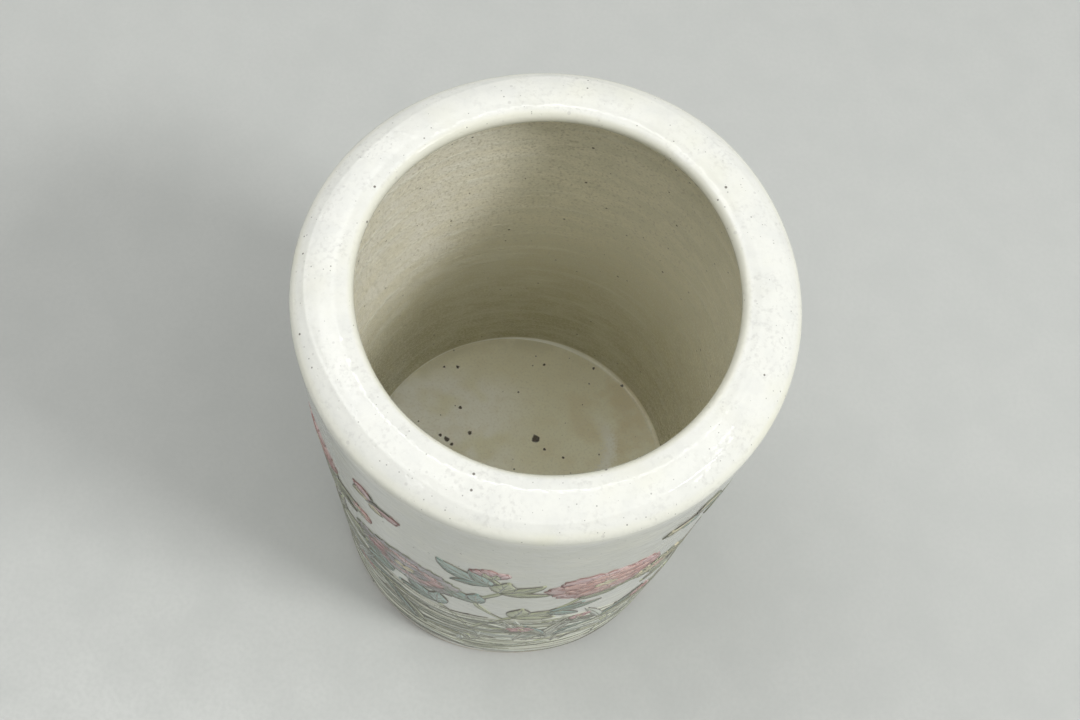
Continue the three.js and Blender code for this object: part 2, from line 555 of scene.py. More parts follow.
def well_glaze(finish):
    """Colour, roughness and bump of the thin glaze inside."""
    x, y, z, radius = finish.axes()
    above_floor = z - FLOOR_TOP * MM
    rolled = finish.stretched(1, 1, 3)
    mottle = finish.cloud(9 * MM, 4, rolled).ramp(0.38, 0.62)
    grain = finish.cloud(0.65 * MM, 2)
    # Painted shade: the wall darkens towards its foot, deep in the well.
    colour = finish.mix(z.ramp(100 * MM, 22 * MM) * 0.9, WELL_BUFF, WELL_SHADE_AND_PITS)
    colour = finish.mix(mottle * 0.45, colour, WELL_GREY)
    # Painted light: the upper left of the wall, where the lamp from the right falls through the mouth,
    # is paler, and the rings show more there.
    left = x.ramp(-6 * MM, -34 * MM) * z.ramp(46 * MM, 84 * MM)
    colour = finish.mix(left * (mottle * 0.4 + 0.3), colour, WELL_PAINTED_LIGHT)
    rings = finish.cloud(3.2 * MM, 2, finish.stretched(0.1, 0.1, 1.6)).ramp(0.52, 0.72)
    colour = finish.mix(rings * (left * 0.4 + 0.22), colour, POOLED)
    pool = pooled_floor(finish, mottle, grain)
    colour = finish.mix(above_floor.ramp(1.2 * MM, 0.4 * MM), colour, pool)
    on_wall = above_floor.ramp(0.4 * MM, 2 * MM)
    colour = finish.mix(grain.ramp(0.43, 0.72) * (on_wall * 0.40 + 0.26), colour, WELL_GRAIN)
    pinholes = finish.specks(5.5 * MM, 0.42 * MM)
    colour = finish.mix(pinholes * on_wall * 0.35, colour, WELL_SHADE_AND_PITS)
    # Painted highlight: a pale line along the glossy fillet round the floor, brightest at the back
    # left.
    to_right = x.ramp(-5 * MM, 30 * MM)
    run = (radius + to_right * (0.3 * MM)).ramp(41.0 * MM, 41.2 * MM)
    run = above_floor.ramp(0.8 * MM, 0.5 * MM) * run
    colour = finish.mix(run * (1.0 - to_right * 0.8), colour, RUN_AND_GLINT_WHITE)
    specks = finish.specks(3.2 * MM, 0.40 * MM) * 0.8
    colour = finish.mix(specks.largest(iron_spots(finish)), colour, IRON)
    roughness = grain * 0.1 + 0.22 - run * 0.18
    bump = finish.relief(finish.cloud(2.4 * MM, 3, rolled) + rings * 0.6 - pinholes, 0.07 * MM)
    return colour, roughness, bump


inside = Finish("well_glaze")
colour, roughness, bump = well_glaze(inside)
inside.dress(Base_Color=colour, Roughness=roughness, Normal=bump, IOR=GLAZE_IOR)
print("well glaze has", len(inside.tree.nodes), "nodes")

# %% [markdown]
# The foot was wiped clean of glaze before the firing, so that the pot wouldn't stick to the kiln's
# shelf. Its clay is dry and matt, toasted to a warm tone where it meets the glaze.

# %% Bare clay
BARE = (0.66, 0.58, 0.46)
BARE_GRAIN = (0.52, 0.45, 0.35)
TOASTED = (0.45, 0.28, 0.16)

foot = Finish("bare_clay")
x, y, z, radius = foot.axes()
glazed_colour, glazed_roughness = white_glaze(foot)[:2]
edge = z + (foot.cloud(6 * MM) - 0.5) * (0.9 * MM)
bare = edge.ramp(1.75 * MM, 1.55 * MM)
toast = edge.ramp(0.4 * MM, 1.6 * MM) * bare
clay = foot.mix(foot.cloud(1.1 * MM, 3).ramp(0.4, 0.8) * 0.5, BARE, BARE_GRAIN)
clay = foot.mix(toast * 0.7, clay, TOASTED)
clay = foot.mix(foot.specks(2.2 * MM, 0.3 * MM) * 0.8, clay, IRON)
foot.dress(Base_Color=foot.mix(bare, glazed_colour, clay),
           Roughness=glazed_roughness + bare * 0.6,
           Normal=foot.relief(foot.cloud(0.5 * MM, 3) * bare, 0.12 * MM))
print("bare clay has", len(foot.tree.nodes), "nodes")

# %% [markdown]
# The lip is the thickest part of the pot: a roll that lies flush with the body outside and hangs
# over the well inside. Brushes lean on it. It could be a torus, but the real one is nearly flat on
# top and turns down sharply, so its section is drawn as four arcs that touch.

# %% Lip
lip = Section(body_radius(LIP_JOINT), LIP_JOINT)
lip.line(RIM_RADIUS, shoulder_height, 4)
lip.arc(RIM_RADIUS - SHOULDER, shoulder_height, shoulder_touch, 8)
lip.arc(CREST_RADIUS, HEIGHT - CROWN, nose_touch - shoulder_touch, 48)
lip.arc(MOUTH_RADIUS + NOSE, nose_height, 180 - nose_touch, 12)
lip.arc(MOUTH_RADIUS + UNDER, nose_height, 90 - UNDER_ANGLE, 6)
lip.line(well_radius(under_bottom), under_bottom, 6)
lip.line(well_radius(LIP_JOINT), LIP_JOINT, 2)
lip_mesh = lip.turned()
for vert in lip_mesh.verts:
    thumb_ridge(vert)
make_clay_piece("pot_lip", lip_mesh, [outside.material], "white_glaze", "lip")

# %% [markdown]
# The wall is a tube with a fillet of smoothed slip inside at its foot. Outside it carries the
# painting. The thin glaze of the well is the second finish of its inner faces.

# %% Wall
WALL_RINGS = 44
FILLET_TURN = 75
SKIN = 1.0
GLAZES = [outside.material, inside.material]
fillet_top = FLOOR_TOP + FILLET
fillet_centre = well_radius(fillet_top) - FILLET
wall = Section(fillet_centre + FILLET * math.sin(math.radians(90 - FILLET_TURN)), FLOOR_TOP)
wall.line(body_radius(FLOOR_TOP), FLOOR_TOP)
wall.line(body_radius(LIP_JOINT), LIP_JOINT, WALL_RINGS)
wall.line(well_radius(LIP_JOINT), LIP_JOINT)
wall.line(well_radius(fillet_top), fillet_top, WALL_RINGS)
wall.arc(fillet_centre, fillet_top, -FILLET_TURN, 8)
wall_mesh = wall.turned()
choose_finish(wall_mesh, lambda radius, height: int(radius < body_radius(height) - SKIN))
make_clay_piece("pot_wall", wall_mesh, GLAZES, "white_glaze", "wall")

# %% [markdown]
# The floor is a slab under the whole wall, so its edge is part of the outside. It could be a
# cylinder, but the body tapers there too, so it is turned like the rest. Its top is the floor of the
# well and takes the finish of the inside.

# %% Floor
LEVEL = 0.1

floor = Section(0, FLOOR_UNDERSIDE)
floor.line(body_radius(FLOOR_UNDERSIDE), FLOOR_UNDERSIDE, 12)
floor.line(body_radius(FLOOR_TOP), FLOOR_TOP, 3)
floor.line(0, FLOOR_TOP, 16)
floor_mesh = floor.turned()
choose_finish(floor_mesh, lambda radius, height: int(height > FLOOR_TOP - LEVEL))
make_clay_piece("pot_floor", floor_mesh, GLAZES, "well_glaze", "floor")

# %% [markdown]
# The foot is a plain ring round a shallow recess, with its outer edge wiped to a bevel. The pot
# stands on it, and its bare clay shows at the very bottom of the outside.

# %% Foot ring
ring_inner = FOOT_RADIUS - FOOT_BEVEL - FOOT_RING
foot_section = Section(ring_inner, 0)
foot_section.line(FOOT_RADIUS - FOOT_BEVEL, 0, 4)
foot_section.line(body_radius(FOOT_BEVEL), FOOT_BEVEL, 2)
foot_section.line(body_radius(FLOOR_UNDERSIDE), FLOOR_UNDERSIDE, 4)
foot_section.line(ring_inner - FOOT_FLARE, FLOOR_UNDERSIDE)
foot_mesh = foot_section.turned()
make_clay_piece("pot_foot_ring", foot_mesh, [foot.material], "bare_clay", "foot_ring")

# %% [markdown]
# The outside is painted with a mossy bank, flowering bushes, irises, grasses and butterflies, in the
# soft enamels of a traditional flower painting. On the real pot each colour is a thin raised
# pool of glass on top of the glaze, inside a dark drawn outline. It could be an image, but an image
# has no thickness, so every brush mark here is a small patch of mesh. `on_pot` rolls the flat sheet
# of the painting round the body, and a `shape` function says where a mark lies on that sheet.

# %% The sheet of the painting
SHEET_RADIUS = 48.3
ROUND = math.tau * SHEET_RADIUS


def on_pot(across, height, lift):
    """A point of the sheet, in millimetres to the right of the front and up, on the pot."""
    turn = across / SHEET_RADIUS - math.pi / 2
    radius = (body_radius(height) + lift) * MM
    return hand_turned(Vector((radius * math.cos(turn), radius * math.sin(turn), height * MM)))


def wander(place, seed, amount):
    """A slow random sway between minus and plus amount, the same for the same seed."""
    return amount * noise.noise(Vector((place, seed * 7.31, 0.5)))


print("the painting is", round(ROUND), "mm long")

# %% [markdown]
# Each enamel is one mesh that gathers all its marks. A mark starts as a flat grid, whose own UV map
# later says what is the middle, the edge and the tip of the brush mark, and every vertex is then
# moved to where the shape function puts it. Marks lie on each other in coats of a fiftieth of a
# millimetre, so that a vein is always above its leaf. A brush line is just a very narrow mark.

# %% Brush marks
FIRST_COAT, COAT = 0.035, 0.02
WASH_DOME, LINE_DOME = 0.04, 0.02
AHEAD = 0.001
LINE_STEP = 1.7


class Wash:
    """The marks of one enamel, all in one mesh. Each is a grid, pushed into shape on the pot."""

    def __init__(self):
        self.mesh = bmesh.new()
        self.mesh.loops.layers.uv.new("UVMap")
        self.tone = self.mesh.verts.layers.float.new("tone")

    def mark(self, shape, across, along, tone, coats, dome=WASH_DOME):
        """Side runs from -1 to 1 over the mark, and forward from 0 to 1 along it."""
        made = bmesh.ops.create_grid(self.mesh, x_segments=across, y_segments=along, size=1,
                                     calc_uvs=True)
        faces = {face for vert in made["verts"] for face in vert.link_faces}
        for vert in made["verts"]:
            side, forward = vert.co.x, (vert.co.y + 1) / 2
            rise = (1 - side ** 2) * min(1, 5 * forward, 5 * (1 - forward))
            across_sheet, height = shape(side, forward)
            vert.co = on_pot(across_sheet, height, FIRST_COAT + COAT * coats + dome * rise)
            vert[self.tone] = tone
        for face in faces:
            face.normal_update()
            middle = face.calc_center_median()
            if face.normal.x * middle.x + face.normal.y * middle.y < 0:
                face.normal_flip()

    def stroke(self, path, width, length, tone, coats):
        """A brush line along a path, with pointed ends and a trembling width."""
        def shape(side, forward):
            here, ahead = path(forward), path(min(1 + AHEAD, forward + AHEAD))
            run = math.hypot(ahead[0] - here[0], ahead[1] - here[1]) or 1
            full = min(1, 0.2 + 4 * forward, 0.2 + 4 * (1 - forward))
            half = side * 0.5 * width * full * (1 + wander(forward * length / 4, tone * 9, 0.9))
            return (here[0] - half * (ahead[1] - here[1]) / run,
                    here[1] + half * (ahead[0] - here[0]) / run)
        self.mark(shape, 1, max(3, round(length / LINE_STEP)), tone, coats, LINE_DOME)


COLOURS = ("bank_yellow", "bank_turquoise", "bank_olive", "leaf_olive", "leaf_turquoise", "coral",
           "rose", "aubergine", "straw", "shade", "madder", "ink")
washes = {name: Wash() for name in COLOURS}
ink, shade = washes["ink"], washes["shade"]
print(len(washes), "enamels on the palette")

# %% [markdown]
# Leaves and petals are the words of the painting. A leaf follows a bent middle line and swells
# between two points. It gets its outline, its rib and its veins from the same function that gives
# its shape, so the drawing always follows the colour. A blade of grass is a long leaf without veins.

# %% Leaves
OUTLINE_WIDTH, RIB_WIDTH, VEIN_WIDTH = 0.30, 0.36, 0.20


def bent(start, heading, length, bend):
    """A path that starts in one direction and turns evenly by an angle, both in radians."""
    def path(forward):
        if abs(bend) < 1e-3:
            return (start[0] + length * forward * math.cos(heading),
                    start[1] + length * forward * math.sin(heading))
        turned = heading + bend * forward
        return (start[0] + length * (math.sin(turned) - math.sin(heading)) / bend,
                start[1] + length * (math.cos(heading) - math.cos(turned)) / bend)
    return path


def outline(shape):
    """Up one side of a shape and down the other."""
    return lambda forward: shape(-1, 2 * forward) if forward < 0.5 else shape(1, 2 - 2 * forward)


def leaf(wash, start, heading, length, width, bend, seed, coats, tone, veins, taper=0.85):
    """A leaf with its drawing. The lower the taper, the longer it keeps its width."""
    middle = bent(start, heading, length, bend)

    def shape(side, forward):
        x, y = middle(forward)
        turned = heading + bend * forward
        swelling = math.sin(math.pi * min(0.995, max(0.01, forward)) ** 0.78) ** taper
        half = side * width / 2 * (swelling + 0.02) * (1 + wander(forward * 4, seed + side, 0.25))
        return x - half * math.sin(turned), y + half * math.cos(turned)

    wash.mark(shape, max(3, round(width / 2)), max(5, round(length / 2)), tone, coats)
    ink.stroke(outline(shape), OUTLINE_WIDTH, 2.1 * length, seed % 1, coats + 1.5)
    shade.stroke(lambda forward: shape(0.04, 0.02 + 0.9 * forward), RIB_WIDTH, length, seed % 1,
                 coats + 3.2)
    for vein in range(veins):
        side = 1 if vein % 2 else -1
        root = 0.10 + 0.5 * vein / veins
        shade.stroke(lambda forward: shape(side * 0.72 * forward ** 1.3, root + 0.34 * forward),
                     VEIN_WIDTH, 0.4 * length, seed % 1, coats + 3)


def spray(foot, count, reach, width, names, seed, coats=5.0):
    """A clump of long arching blades."""
    chance = random.Random(seed)
    for blade in range(count):
        heading = math.pi / 2 + chance.gauss(0, 0.5)
        bend = (math.pi / 2 - heading) * -chance.uniform(0.9, 2.2)
        root = (foot[0] + chance.uniform(-2.5, 2.5), foot[1] + chance.uniform(-1.5, 1.5))
        leaf(washes[chance.choice(names)], root, heading, reach * chance.uniform(0.6, 1.1),
             width * chance.uniform(0.7, 1.2), bend, chance.uniform(0, 50),
             coats + 0.5 * (blade % 3), chance.random(), 0, 0.6)


print("leaf brush ready")

# %% [markdown]
# A petal opens like a fan and ends in a wavy edge, and it is drawn in dark red or in shade by its
# colour. A flower is rings of petals laid from the outside in, each ring some coats higher, and a
# flower seen a little from above is squashed in height. A bud is three closed petals in two leaves.

# %% Petals and flowers
def petal(name, centre, heading, inner, length, width, seed, coats, tone, veins, squash=0.9):
    """A petal that starts at some distance from the centre of its flower, with its drawing."""
    def shape(side, forward):
        spread = (forward ** 0.6) * (1 - 0.16 * forward ** 5)
        edge = 1 - 0.20 * side ** 2 + 0.07 * math.cos(9 * side + 5 * seed) * forward
        reach = inner + length * forward * edge
        half = side * width / 2 * (spread + 0.05) * (1 + wander(forward * 3, seed + side, 0.15))
        return (centre[0] + reach * math.cos(heading) - half * math.sin(heading),
                centre[1] + squash * (reach * math.sin(heading) + half * math.cos(heading)))

    def edge_line(forward):
        if forward < 0.25:
            return shape(-1, 0.25 + 3 * forward)
        if forward < 0.75:
            return shape(4 * forward - 2, 1)
        return shape(1, 1 - 3 * (forward - 0.75))

    washes[name].mark(shape, max(3, round(width / 2)), max(4, round(length / 2)), tone, coats)
    line = washes["madder"] if name in ("coral", "rose") else shade
    line.stroke(edge_line, OUTLINE_WIDTH, 1.6 * length + width, seed % 1, coats + 1.2)
    for vein in range(veins):
        side = (2 * (vein + 0.5) / veins - 1) * 0.72
        line.stroke(lambda forward: shape(side * (0.5 + 0.5 * forward), 0.3 + 0.6 * forward),
                    VEIN_WIDTH, 0.6 * length, seed % 1, coats + 3)


def flower(centre, radius, rings, seed, coats=6.0):
    """Rings of petals. The ends and the width of a ring's petals are shares of the radius."""
    chance = random.Random(seed)
    for number, (name, count, inner, outer, width, veins) in enumerate(rings):
        offset = chance.uniform(0, math.tau)
        for place in range(count):
            heading = offset + math.tau * (place + chance.uniform(-0.18, 0.18)) / count
            petal(name, centre, heading, inner * radius,
                  (outer - inner) * radius * chance.uniform(0.86, 1.1), width * radius,
                  chance.uniform(0, 50), coats + 2 * number + 0.4 * (place % 2),
                  chance.uniform(0.2, 0.9), veins)


def bud(centre, heading, size, name, seed):
    """Closed petals of one enamel, between two small leaves."""
    for turned in (-0.5, 0.5, 0.0):
        length = size * (1.1 - 0.3 * abs(turned))
        petal(name, centre, heading + turned, 0, length, 0.6 * size, seed + turned,
              6 + abs(turned), 0.6, 1, 1.0)
    for turned in (-0.55, 0.55):
        leaf(washes["leaf_olive"], centre, heading + turned, 0.7 * size, 0.3 * size, -turned,
             seed, 8.5, 0.5, 0)


print("petal brush ready")

# %% [markdown]
# The bank runs all round the foot. One rolling line is its crest, and two kinds of wash follow it:
# broad pale ones that lie under the rest, and long narrow ones at any level from the crest down to
# the foot. No paint goes below the edge of the glaze.

# %% The line of the bank
PAINT_FOOT = 1.9
BANK_HEIGHT = 42
# How far the bank rises and falls, in how many waves, and where they start.
BANK_WAVES = ((9, 1, 0.9), (6, 2, 2.6), (2.5, 5, 0))
UNDERWASHES = 26


def bank_top(across):
    turn = across / SHEET_RADIUS
    return sum((size * math.sin(waves * turn + start) for size, waves, start in BANK_WAVES),
               BANK_HEIGHT)


def underwash(middle, tier, seed):
    """The shape of a broad pale wash, at one tier of the bank."""
    def shape(side, forward):
        across = middle + (forward - 0.5) * 3.6 * ROUND / UNDERWASHES
        swelling = math.sin(math.pi * min(0.99, max(0.01, forward))) ** 0.5
        height = bank_top(across) * (tier + 0.26 * side * swelling)
        return across, max(PAINT_FOOT, height + wander(forward * 3, seed + side, 5) * swelling)
    return shape


def slope_wash(middle, length, thick, level, seed):
    """The shape of a long wash that follows the bank at one level."""
    def shape(side, forward):
        across = middle + (forward - 0.5) * length
        swelling = math.sin(math.pi * min(0.99, max(0.01, forward))) ** 0.6
        rolling = bank_top(across) * level + wander(forward * 2.5, seed, 5)
        half = side * thick / 2 * swelling * (1 + wander(forward * 5, seed + side, 0.6))
        return across, max(PAINT_FOOT, rolling + half)
    return shape


print("the bank is", round(bank_top(0)), "mm high at the front")

# %% [markdown]
# The pale washes are laid first, in two tiers. Over them come the washes of yellow-green, olive and
# turquoise in turn, each drawn over with three brush lines, most of them thin. Each wash starts 0.38
# of a turn further round than the last, so that they spread evenly without falling into a pattern.

# %% Bank washes
# Each tier's share of the height of the bank, and its coats.
TIERS = ((0.30, -1.2), (0.70, -0.55))
BANK_WASHES = 110
ROUND_STEP = 0.382
UNDER_DOME, BANK_DOME = 0.004, 0.012
LINE_COATS = 4.9


def slope_lines(slope, length):
    """Three brush lines along parts of a wash."""
    for line in range(3):
        side = chance.uniform(-0.9, 1.0)
        start, stop = sorted((chance.uniform(0, 0.6), chance.uniform(0.4, 1)))
        pen = ink if chance.random() < 0.25 else shade
        width = 0.25 + 2.2 * chance.random() ** 3
        pen.stroke(lambda forward: slope(side, start + (stop - start) * forward), width,
                   length * (stop - start) + 3, chance.random(), LINE_COATS)


chance = random.Random(41)
for number in range(UNDERWASHES):
    middle = ROUND * (number + chance.uniform(-0.2, 0.2)) / UNDERWASHES - ROUND / 2
    tier, coats = TIERS[number % 2]
    under = underwash(middle, tier, chance.uniform(0, 90))
    name = chance.choice(("bank_yellow", "bank_yellow", "bank_turquoise"))
    washes[name].mark(under, 8, 40, 0.3 * chance.random(), coats, UNDER_DOME)
for number in range(BANK_WASHES):
    rank = number / BANK_WASHES
    middle = ROUND * ((number * ROUND_STEP + chance.uniform(-0.02, 0.02)) % 1) - ROUND / 2
    length, thick = chance.uniform(30, 68), chance.uniform(2.5, 7.5) * (1 - 0.4 * rank)
    level = 0.97 - 0.93 * rank ** 1.3 + chance.uniform(-0.04, 0.04)
    slope = slope_wash(middle, length, thick, level, chance.uniform(0, 90))
    name = ("bank_yellow", "bank_olive", "bank_turquoise")[number % 3]
    washes[name].mark(slope, max(2, round(thick / 2)), round(length / 1.4), chance.random(),
                      0.85 * (number % 5) + 0.3, BANK_DOME)
    slope_lines(slope, length)
print("bank:", UNDERWASHES, "underwashes and", BANK_WASHES, "washes")

# %% [markdown]
# Tufts of grass and dots of moss stand on the bank. A tuft leans one way as a whole, and each blade
# is a single stroke that bends over further the more it leans.

# %% Grass and moss
TUFTS, MOSS_DOTS = 64, 130
BLADE, THIN_BLADE, BLADE_LINE = 1.1, 0.4, 0.24
DOT_LENGTH, DOT_WIDTH = 1.3, 0.7

for number in range(TUFTS):
    across = chance.uniform(-ROUND / 2, ROUND / 2)
    root = (across, bank_top(across) * chance.uniform(0.12, 0.96))
    lean = chance.gauss(0, 0.35)
    for blade in range(chance.randint(3, 6)):
        heading = math.pi / 2 + lean + chance.gauss(0, 0.4)
        length = chance.uniform(6, 15)
        bend = (heading - math.pi / 2) * chance.uniform(0.6, 1.5)
        name = chance.choice(("leaf_olive", "bank_turquoise", "bank_olive", "shade"))
        path = bent((root[0] + chance.uniform(-2, 2), root[1]), heading, length, bend)
        width = THIN_BLADE if name == "shade" else BLADE
        washes[name].stroke(path, width, length, chance.random(), 5)
        if name != "shade" and chance.random() < 0.6:
            shade.stroke(path, BLADE_LINE, length, chance.random(), 6.4)
for number in range(MOSS_DOTS):
    across = chance.uniform(-ROUND / 2, ROUND / 2)
    spot = (across, bank_top(across) * chance.uniform(0.6, 1.04))
    path = bent(spot, chance.uniform(0, math.pi), DOT_LENGTH, 0)
    ink.stroke(path, DOT_WIDTH, DOT_LENGTH, chance.random(), 6)
print(TUFTS, "tufts of grass and", MOSS_DOTS, "dots of moss")

# %% [markdown]
# Now the bushes grow from the bank. A stem runs smoothly through a few points, in olive with an ink
# line along its shaded side. The list is the whole planting, in millimetres to the right of the
# front and up.

# %% Stems
STEM_WIDTH, STEM_LINE = 1.3, 0.3
STEM_COATS = 4.5
STEMS = (
    ((-4, 34), (-8, 48), (-19, 62), (-18, 74)),
    ((-4, 34), (4, 54), (17, 68), (24, 84)),
    ((4, 54), (-3, 70), (3, 88), (0, 99)),
    ((-40, 30), (-46, 52), (-40, 80), (-47, 104)),
    ((60, 32), (55, 54), (64, 74), (60, 96)),
    ((55, 54), (44, 62), (40, 74)),
    ((112, 34), (104, 58), (116, 80), (110, 100)),
    ((112, 34), (124, 52), (134, 62)),
    ((-100, 30), (-96, 54), (-106, 72)),
    ((-100, 30), (-86, 50), (-80, 82), (-84, 106)),
)


def stem(points, width):
    """A twig through a few points."""
    def path(forward):
        place = forward * (len(points) - 1)
        step = min(len(points) - 2, int(place))
        part = place - step
        before, after = points[max(0, step - 1)], points[min(len(points) - 1, step + 2)]
        here, there = points[step], points[step + 1]
        return tuple(0.5 * (2 * b + (c - a) * part + (2 * a - 5 * b + 4 * c - d) * part ** 2
                            + (3 * b - a - 3 * c + d) * part ** 3)
                     for a, b, c, d in zip(before, here, there, after))

    def shaded_side(forward):
        x, y = path(forward)
        return x + width * 0.4, y

    length = sum(math.dist(a, b) for a, b in zip(points, points[1:]))
    washes["leaf_olive"].stroke(path, width, length, 0.3, STEM_COATS)
    ink.stroke(shaded_side, STEM_LINE, length, 0.7, STEM_COATS + 1)


for points in STEMS:
    stem(points, STEM_WIDTH)
print(len(STEMS), "stems")

# %% [markdown]
# Each bloom has a place, a radius, its rings of petals and a seed. A ring is an enamel, a count, the
# inner and outer ends and the width of its petals, and how many veins they have. A few buds stand
# between the blooms.

# %% Blooms and buds
PEONY_CORAL = (("rose", 8, 0.30, 1.00, 0.78, 4), ("coral", 7, 0.15, 0.78, 0.66, 4),
               ("coral", 6, 0.05, 0.52, 0.50, 2), ("straw", 5, 0.0, 0.22, 0.20, 0))
PEONY_SHADE = (("aubergine", 9, 0.30, 1.00, 0.72, 5), ("rose", 7, 0.15, 0.74, 0.62, 4),
               ("aubergine", 6, 0.05, 0.50, 0.46, 2), ("straw", 5, 0.0, 0.22, 0.20, 0))
ASTER_STRAW = (("straw", 15, 0.22, 1.00, 0.32, 1), ("straw", 11, 0.12, 0.70, 0.28, 1),
               ("coral", 6, 0.0, 0.25, 0.20, 0))
BLOOMS = (
    ((-20, 76), 13.5, PEONY_SHADE, 3), ((25, 88), 13.5, PEONY_CORAL, 8),
    ((-47, 102), 8, PEONY_CORAL, 5), ((61, 98), 12, PEONY_SHADE, 12),
    ((40, 76), 7.5, ASTER_STRAW, 15), ((110, 102), 13, PEONY_CORAL, 21),
    ((135, 64), 9, ASTER_STRAW, 23), ((-107, 75), 12.5, ASTER_STRAW, 27),
    ((-84, 108), 9, PEONY_SHADE, 31),
)
BUDS = (
    ((0, 99), 1.7, 7, "rose", 2.2), ((-33, 92), 0.9, 5.5, "coral", 4.1),
    ((72, 86), 0.6, 6, "coral", 5.3), ((-70, 96), 1.0, 6, "rose", 6.4),
    ((124, 96), 0.8, 6, "rose", 7.7),
)
for centre, radius, rings, seed in BLOOMS:
    flower(centre, radius, rings, seed)
for centre, heading, size, name, seed in BUDS:
    bud(centre, heading, size, name, seed)
print(len(BLOOMS), "blooms and", len(BUDS), "buds")

# %% [markdown]
# The leaves sit in threes along the stems, a long one between two short ones. Each place below is
# the foot of three leaves and the direction of the middle one.

# %% Leaves on the stems
LEAF_NODES = (
    (-12, 54, 2.4), (-24, 60, 2.9), (6, 58, 0.5), (14, 64, -0.1), (-2, 70, 2.6), (2, 86, 0.7),
    (20, 77, 0.2), (0, 92, 2.7), (-44, 50, 2.7), (-43, 66, 0.4), (-41, 82, 2.5), (-44, 92, 0.3),
    (57, 52, 0.3), (60, 66, 2.9), (64, 79, 0.2), (48, 60, 2.4), (108, 50, 2.8), (108, 64, 0.3),
    (116, 82, 0.1), (113, 90, 2.9), (124, 52, 0.2), (-98, 46, 2.6), (-96, 58, 0.6), (-84, 62, 0.2),
    (-81, 78, 2.8), (-80, 90, 0.4),
)
chance = random.Random(77)
for across, height, heading in LEAF_NODES:
    name = chance.choice(("leaf_olive", "leaf_turquoise", "leaf_olive"))
    for lobe, turned in enumerate((0.0, 0.75, -0.75)):
        size = chance.uniform(13, 17) if lobe == 0 else chance.uniform(9, 12)
        leaf(washes[name], (across, height), heading + turned + chance.uniform(-0.15, 0.15), size,
             size * chance.uniform(0.34, 0.46), chance.uniform(-0.6, 0.6), chance.uniform(0, 50),
             5 + 0.7 * lobe, chance.random(), 4)
print(3 * len(LEAF_NODES), "leaves")

# %% [markdown]
# Sprays of long grass and small field flowers stand in front of the bushes. They are spread evenly
# round the pot, and a random share of their spacing keeps them from looking counted out.

# %% Sprays and field flowers
SPRAYS, FIELD_FLOWERS = 13, 12
SPRAY_REACH, SPRAY_BLADE = 24, 2.4
SPRAY_GREENS = ("leaf_olive", "bank_turquoise", "bank_olive", "leaf_turquoise")
FIELD_FLOWER = (("rose", 6, 0.15, 1.00, 0.75, 1), ("straw", 4, 0.0, 0.30, 0.30, 0))

for number in range(SPRAYS):
    across = ROUND * (number + chance.uniform(-0.3, 0.3)) / SPRAYS - ROUND / 2
    root = (across, bank_top(across) * chance.uniform(0.25, 0.85))
    spray(root, chance.randint(4, 6), SPRAY_REACH, SPRAY_BLADE, SPRAY_GREENS, number)
for number in range(FIELD_FLOWERS):
    across = ROUND * (number + chance.uniform(-0.4, 0.4)) / FIELD_FLOWERS - ROUND / 2
    centre = (across, bank_top(across) * chance.uniform(0.45, 1.08))
    flower(centre, chance.uniform(2.4, 3.6), FIELD_FLOWER, number, 7)
print(SPRAYS, "sprays and", FIELD_FLOWERS, "field flowers")

# %% [markdown]
# A clump of irises stands at the back left, where two bushes leave a gap. Butterflies fill the white
# above, as they do on such pots. A wing is a petal, and a body or a feeler is a stroke, so no new
# brush is needed.

# %% Irises and butterflies
IRIS_FOOT = (-133, 26)
# Each iris is the points of its stem and a seed.
IRISES = (((IRIS_FOOT, (-137, 50), (-140, 78)), 8.3), ((IRIS_FOOT, (-130, 46), (-124, 68)), 9.1))
UPRIGHT = 1.55
# Each butterfly is a place, a size, a direction, the enamels of its wings and a seed.
BUTTERFLIES = (
    ((42, 116), 7.5, 2.3, "straw", "leaf_turquoise", 1.3),
    ((-27, 114), 6.5, 0.9, "rose", "straw", 2.7),
    ((88, 108), 8, 0.8, "leaf_turquoise", "coral", 3.9),
    ((-128, 108), 9, 1.9, "straw", "rose", 5.1),
)


def iris(points, seed):
    """Four petals spread upwards and a small straw one in their midst, on a stem."""
    stem(points, 1.1)
    for turned in (2.5, 0.6, 1.9, 1.2):
        petal("aubergine", points[-1], turned, 0, 9 - abs(turned - UPRIGHT), 5.4, seed + turned,
              7 + turned, 0.4 + 0.1 * turned, 3, 1.0)
    petal("straw", points[-1], UPRIGHT, 0, 3.4, 2.2, seed, 11, 0.5, 1, 1.0)


def butterfly(centre, size, heading, upper, lower, seed):
    """Four wings opened flat, a body and two feelers."""
    for side in (-1, 1):
        for name, turned, reach, wide in ((lower, 2.15, 0.72, 0.62), (upper, 1.15, 1.0, 0.72)):
            petal(name, centre, heading + side * turned, 0.08 * size, reach * size,
                  wide * size, seed + turned, 6 + turned, 0.5, 2, 1.0)
        feeler = bent(centre, heading + 0.25 * side, 0.8 * size, 0.9 * side)
        ink.stroke(feeler, 0.2, 0.8 * size, 0.5, 9)
    tail = (centre[0] - 0.35 * size * math.cos(heading),
            centre[1] - 0.35 * size * math.sin(heading))
    ink.stroke(bent(tail, heading, 0.75 * size, 0), 1.0, 0.75 * size, 0.4, 10)


spray(IRIS_FOOT, 9, 46, 4.6, ("leaf_olive", "leaf_turquoise"), 40, 6)
for points, seed in IRISES:
    iris(points, seed)
for centre, size, heading, upper, lower, seed in BUTTERFLIES:
    butterfly(centre, size, heading, upper, lower, seed)
print(len(IRISES), "irises and", len(BUTTERFLIES), "butterflies")

# %% [markdown]
# The enamels are coloured glass, deeper where they lie thick and streaky along the brush. Petals are
# deep at the root and pale at the tip, and the washes of the bank thin out to the white at their
# edges. Their finish reads the piece's own UV map and the tone that each mark was given. A Solidify
# modifier closes every mark downwards into the glaze, so that none is a sheet without a thickness.

# %% Enamel finishes
ENAMEL_THICKNESS = 0.2
ENAMEL_IOR = 1.52
